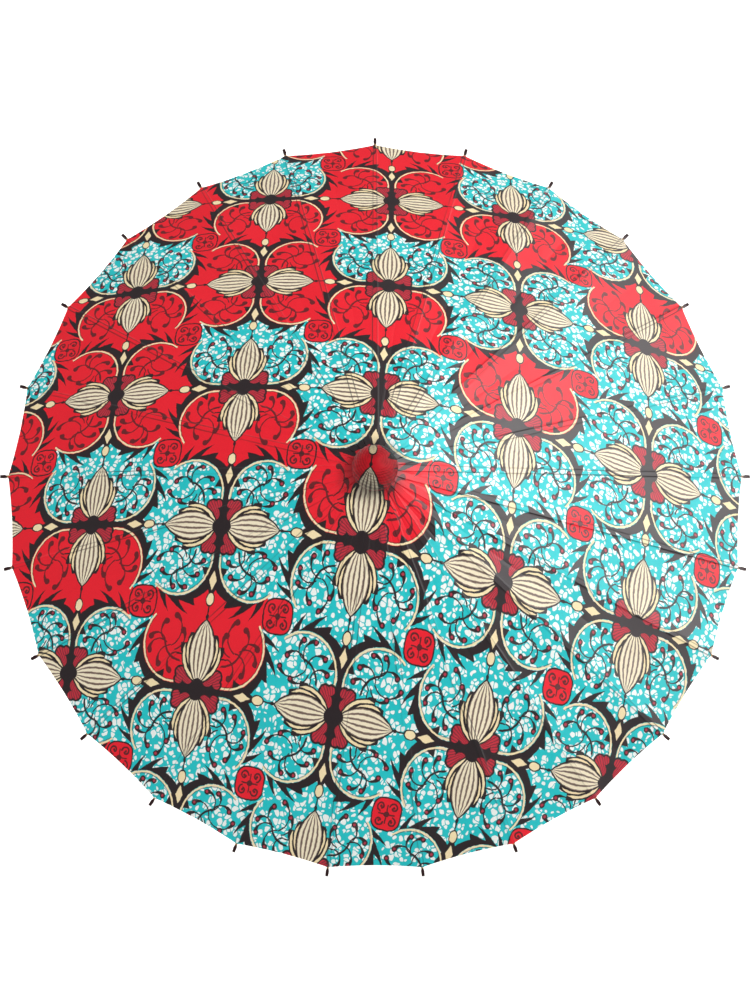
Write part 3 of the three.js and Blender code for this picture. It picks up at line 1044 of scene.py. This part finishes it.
runner_profile = [
    (6.8, R0 + 6.0), (21, R0 + 6.0), (22, R0 + 5.0), (22, R0 + 1.2), (17.3, R0 + 1.2), (17.3, R0 - 1.2),
    (22, R0 - 1.2), (22, R0 - 6.5), (20, R0 - 8.0), (13, R0 - 10), (11.9, R0 - 14), (11.6, R0 - 20),
    (11.6, R0 - 32), (12.4, R0 - 34.2), (14.2, R0 - 36), (14.4, R0 - 38.5), (14.2, R0 - 41), (13.2, R0 - 42), (6.8, R0 - 42),
]
runner = lathe("runner_turned", rounded(runner_profile, 0.5, 3), [MAT_TURNED], 100, twist=AZ[0] + SECTOR / 8)
cut(runner, boxes("runner_cut", slot_cutters(R0 - 3.9, R0 + 9)))
sharpen(runner, 35)
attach(runner, "runner"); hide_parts("runner")

FOOT, TOP = R0 - 73, R0 - 42.5
pole = lathe("pole_turned", [(0, 10.0), (5.4, 10.0), (6.0, 10.6)] + [(6.0, z) for z in np.linspace(30, H - 2, 24)] + [(6.0, H + 5.2), (5.2, H + 6.0), (0, H + 6.0)],
             [MAT_POLE], 64, closed=False)
cut(pole, boxes("pole_cut", [([(-1.7, -9), (1.7, -9), (1.7, 1.6), (-1.7, 1.6)], FOOT - 1.2, TOP + 1.2)]))
sharpen(pole, 35)
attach(pole, "pole_frame"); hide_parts("pole")


def spline(points, per=6):
    """A smooth line through the points (Catmull-Rom)."""
    out = []
    p = [points[0]] + list(points) + [points[-1]]
    for k in range(1, len(p) - 2):
        a, b, c, d = (np.array(q, float) for q in p[k - 1:k + 3])
        for s in range(per):
            t = s / per
            out.append(tuple(0.5 * ((2 * b) + (-a + c) * t + (2 * a - 5 * b + 4 * c - d) * t * t + (-a + 3 * b - 3 * c + d) * t ** 3)))
    out.append(tuple(points[-1]))
    return out


handle_side = spline([(11.0, 2.6), (11.2, 5.0), (11.1, 9.0), (10.35, 11.6), (10.25, 13.4), (10.7, 22), (11.15, 36), (11.0, 48),
                      (10.4, 66), (9.75, 84), (9.6, 87.6), (10.3, 89.6), (10.8, 92.6), (10.4, 95.4), (9.5, 97.6), (9.0, 101), (8.4, 104.6)], 5)
handle_profile = [(0, 0), (9.0, 0), (9.9, 0.35), (10.6, 1.2)] + handle_side + [(8.0, 105.7), (7.4, 106.0), (6.4, 106.0), (6.4, 9.6), (0, 9.6)]
handle = lathe("handle_turned", handle_profile, [MAT_HANDLE], 96, closed=False)
sharpen(handle, 40)
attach(handle, "pole_frame"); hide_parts("handle")


def winding(name, r, low, high, turns, mat, body, proud=0.42):
    """Thread wound close round a neck: each turn a half-round bead."""
    pitch = (high - low) / turns
    prof = [(r, low)]
    for k in range(turns):
        z0 = low + k * pitch
        for s in range(7):
            a = math.pi * (s + 0.5) / 7
            prof.append((r + 0.12 + proud * math.sin(a), z0 + pitch * (1 - math.cos(a)) / 2))
    prof.append((r, high))
    o = lathe(name, prof, [mat], 72)
    sharpen(o, 60)
    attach(o, body)
    return o


winding("hub_winding", 12.75, H - 18.5, H - 12.0, 9, MAT_THREAD, "pole_frame")
winding("runner_winding", 11.65, R0 - 29.5, R0 - 22.0, 10, MAT_THREAD, "runner")
winding("handle_winding", 10.05, 11.2, 14.2, 4, MAT_THREAD, "pole_frame", proud=0.34)

# ------------------------------------------------------------------ cap
CAP_SIDE = spline([(22.6, 0.3), (23.7, 1.2), (24.15, 3.0), (24.35, 5.6), (24.0, 8.8), (22.7, 12.4), (20.4, 15.8), (17.2, 18.6),
                   (13.4, 20.8), (9.0, 22.6), (4.6, 23.8), (0.0, 24.4)], 5)
knob_profile = [(0, CAP_BASE), (20.6, CAP_BASE)] + [(max(0.0, r - 1.0), CAP_BASE + max(0.3, z - 0.9)) for r, z in CAP_SIDE if z > 0.9]
knob_profile[-1] = (0, CAP_BASE + 23.4)
knob = lathe("cap_knob", knob_profile, [MAT_TURNED], 72, closed=False)
sharpen(knob, 40)
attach(knob, "pole_frame"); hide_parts("top_cap")


def cap_cloth():
    seg = 160
    side = [p for p in CAP_SIDE]
    dense = []
    for k in range(len(side) - 1):
        a, b = np.array(side[k]), np.array(side[k + 1])
        dense.append(a)
        if np.linalg.norm(b - a) > 0.9:
            dense.append((a + b) / 2)
    dense.append(np.array(side[-1]))
    total = len(dense)
    pts, depths = [], []

    def fold(a, r, z, s):
        """Inward depth of the cloth's folds, in mm."""
        gather = 0.70 * (1 - s) ** 2 * (0.5 + 0.5 * math.sin(a * 34 + 2.0 * math.sin(a * 5)))
        # arcs where the cloth was drawn round the knob
        cx, cy = 3.0, 7.0
        d = math.hypot(r * math.cos(a) - cx, r * math.sin(a) - cy)
        wave = 0.5 + 0.5 * math.sin(d * 2.5 + 1.6 * noise.noise(Vector((math.cos(a) * 1.6, math.sin(a) * 1.6, r * 0.12))))
        arcs = 0.55 * wave * min(1.0, max(0.0, (r - 6) / 5)) * (0.40 + 0.60 * max(0.0, 0.5 - 0.5 * math.sin(a + 0.2)))
        soft = 0.30 * (noise.noise(Vector((r * math.cos(a) * 0.16, r * math.sin(a) * 0.16, 2.0))))
        return gather + arcs + soft

    outer, inner = [], []
    for k, (r, z) in enumerate(dense):
        s = k / (total - 1)
        ring_o, ring_i = [], []
        if k == total - 1:
            outer.append([len(pts)]); pts.append((0, 0, (CAP_BASE + z) * MM)); depths.append(0.0)
            inner.append([len(pts)]); pts.append((0, 0, (CAP_BASE + z - 0.45) * MM)); depths.append(0.0)
            continue
        nxt = dense[min(k + 1, total - 1)]; prv = dense[max(k - 1, 0)]
        tan = nxt - prv
        nr, nz = tan[1], -tan[0]
        ln = math.hypot(nr, nz)
        nr, nz = nr / ln, nz / ln
        for q in range(seg):
            a = 2 * math.pi * q / seg
            d = fold(a, r, z, s) * min(1.0, r / 4)
            ro, zo = r - nr * d * 0.9, z - nz * d * 0.9
            ring_o.append(len(pts)); pts.append((ro * math.cos(a) * MM, ro * math.sin(a) * MM, (CAP_BASE + zo) * MM)); depths.append(d)
        for q in range(seg):
            a = 2 * math.pi * q / seg
            d = fold(a, r, z, s) * min(1.0, r / 4) + 0.42
            ro, zo = r - nr * d, z - nz * d
            ring_i.append(len(pts)); pts.append((ro * math.cos(a) * MM, ro * math.sin(a) * MM, (CAP_BASE + zo) * MM)); depths.append(d)
        outer.append(ring_o); inner.append(ring_i)
    faces = []
    for rings, flip in ((outer, False), (inner, True)):
        for a, b in zip(rings, rings[1:]):
            for q in range(seg):
                q2 = (q + 1) % seg
                f = (a[q], a[q2], b[0]) if len(b) == 1 else (a[q], a[q2], b[q2], b[q])
                faces.append(tuple(reversed(f)) if flip else f)
    for q in range(seg):
        q2 = (q + 1) % seg
        faces.append((outer[0][q2], outer[0][q], inner[0][q], inner[0][q2]))
    o = mesh_object("cap_cloth", pts, faces, [MAT_CAP])
    outward(o)
    print_places(o)
    low = np.array([p[2] for p in pts]) / MM - CAP_BASE
    depth = np.array(depths)
    # the fold attribute holds the fold depth and the nearness to the cap's foot, which the cap's material turns into
    # painted shade
    vector_attribute(o, "fold", np.stack([np.clip(depth / 1.0, 0, 1), np.clip(1 - low / 7.0, 0, 1) ** 1.5, 0 * low], 1))
    return o


cloth = cap_cloth()
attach(cloth, "pole_frame"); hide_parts("top_cap")
winding("cap_binding", 22.7, CAP_BASE - 1.5, CAP_BASE + 0.7, 3, MAT_THREAD, "pole_frame", proud=0.5)

# ------------------------------------------------------------------ carried-over metal
for name, mat in (("hub_wire", MAT_WIRE), ("runner_wire", MAT_WIRE), ("catch_spring", MAT_SPRING)):
    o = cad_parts[name]
    o.data.materials.clear()
    o.data.materials.append(mat)
    mod = o.modifiers.new("edge", "BEVEL")
    mod.width, mod.segments = (0.00018, 2)
    mod.limit_method, mod.angle_limit = "ANGLE", math.radians(40)
    "catch_metal" if name == "catch_spring" else "wire"

# ------------------------------------------------------------------ floor
floor = mesh_object("floor", [(-15, -15, -0.0006), (15, -15, -0.0006), (15, 15, -0.0006), (-15, 15, -0.0006)], [(0, 1, 2, 3)], [])
mf, Bf, pf = material("floor_paint")
grain = Bf.value_noise(object_place(Bf), 3.0, 3.0)
Bf.feed(pf.inputs["Base Color"], Bf.gain(srgb(246, 246, 245), 0.985 + grain * 0.02))
pf.inputs["Roughness"].default_value = 0.9
pf.inputs["Specular IOR Level"].default_value = 0.1
pf.inputs["Emission Color"].default_value = (1, 1, 1, 1)
pf.inputs["Emission Strength"].default_value = 0.75
floor.data.materials.append(mf)

# a pale wall far round the floor, so that low views have the same ground behind them; it lights nothing
ring = [(14.0 * math.cos(2 * math.pi * k / 96), 14.0 * math.sin(2 * math.pi * k / 96)) for k in range(96)]
wall = mesh_object("wall", [(x, y, -0.0004) for x, y in ring] + [(x, y, 12.0) for x, y in ring],
                   [(k, 96 + k, 96 + (k + 1) % 96, (k + 1) % 96) for k in range(96)], [])
mw, Bw, pw = material("wall_paint")
Bw.feed(pw.inputs["Base Color"], Bw.gain(srgb(246, 246, 245), 0.985 + Bw.value_noise(object_place(Bw), 0.5, 2.0) * 0.02))
pw.inputs["Roughness"].default_value = 0.9
pw.inputs["Specular IOR Level"].default_value = 0.0
pw.inputs["Emission Color"].default_value = (1, 1, 1, 1)
pw.inputs["Emission Strength"].default_value = 0.78
wall.data.materials.append(mw)
wall.visible_diffuse = wall.visible_glossy = wall.visible_transmission = wall.visible_shadow = False
